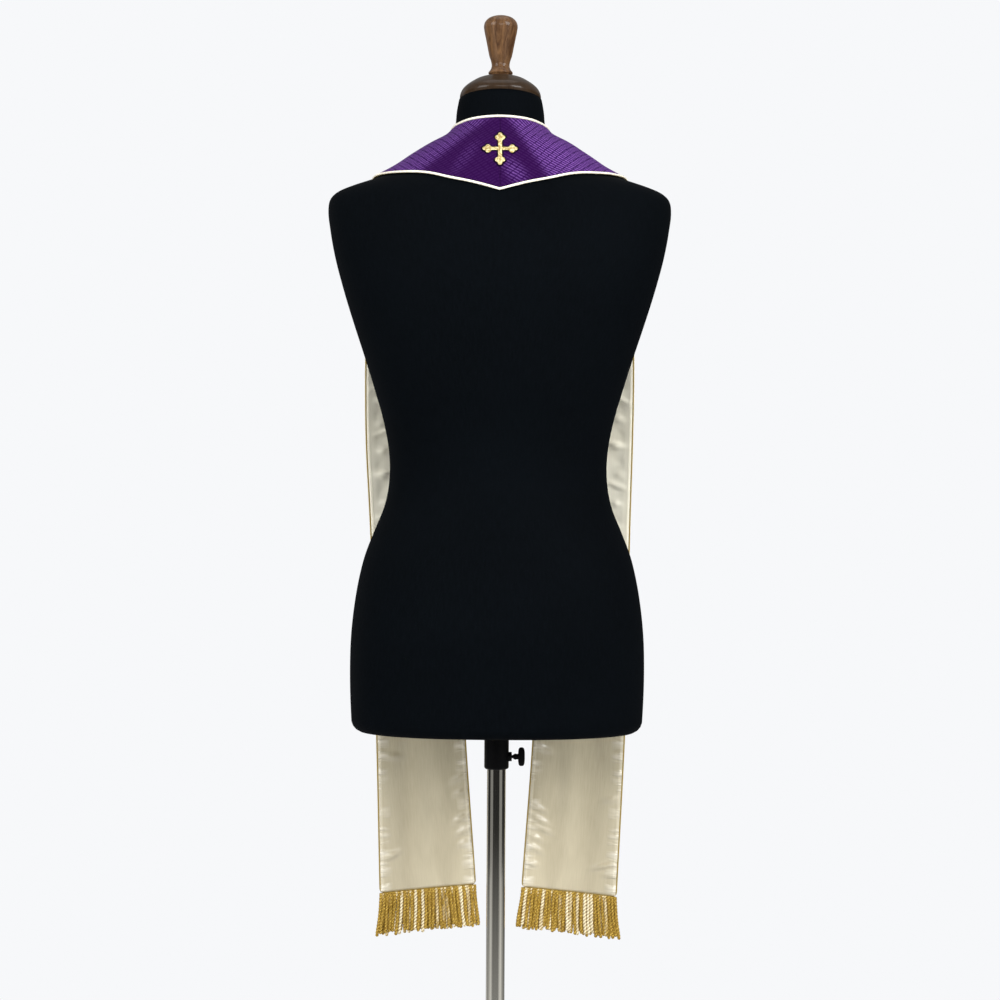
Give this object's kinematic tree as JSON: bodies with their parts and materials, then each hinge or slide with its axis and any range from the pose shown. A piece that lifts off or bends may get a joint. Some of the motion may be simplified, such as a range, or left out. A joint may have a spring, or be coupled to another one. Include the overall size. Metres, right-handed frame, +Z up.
{
  "type": "clerical stole on dress form",
  "caption": "Shaped clerical stole with lining, piped edges, back cross and bullion fringe, laid over a limbless dress form on a pole stand.",
  "frame": {"origin": "middle of the round foot's underside, on the floor, under the pole's axis", "axes": "+Z up along the pole; the form's front faces -Y; +X is the wearer's left"},
  "size_m": [0.4036, 0.34, 1.5632],
  "materials": {
    "brocade": "satin-woven brocade",
    "satin": "satin",
    "piping": "satin-covered cord",
    "bullion": "twisted metallic thread",
    "gold_thread": "satin-stitched metallic thread",
    "jersey": "matt jersey over moulded foam",
    "walnut": "satin varnish",
    "moulded_black": "moulded",
    "steel": "polished tube",
    "powder_coat": "powder coat"
  },
  "bodies": {
    "stand": {"stand_base": "powder_coat", "stand_hub": "powder_coat", "stand_pole": "steel"},
    "collar": {"form_collar": "moulded_black"},
    "screw": {"clamp_screw": "moulded_black"},
    "form": {"form_torso": "jersey", "form_neck_cap": "walnut", "form_knob": "walnut", "stole_outer_left": "brocade", "stole_outer_right": "brocade", "stole_lining_left": "satin", "stole_lining_right": "satin", "stole_piping_left": "piping", "stole_piping_right": "piping", "stole_fringe_left": "bullion", "stole_fringe_right": "bullion", "stole_back_cross": "gold_thread"}
  },
  "joints": [
    {"name": "height_slide", "type": "slide", "parent": "stand", "child": "collar", "axis": [0, 0, 1], "range_m": [0, 0.25]},
    {"name": "form_turn", "type": "hinge", "parent": "collar", "child": "form", "pos_m": [0, 0, 0.72], "axis": [0, 0, 1], "continuous": true},
    {"name": "clamp_screw_turn", "type": "hinge", "parent": "collar", "child": "screw", "pos_m": [-0.0294, 0, 0.6894], "axis": [-1, 0, 0], "continuous": true}
  ]
}
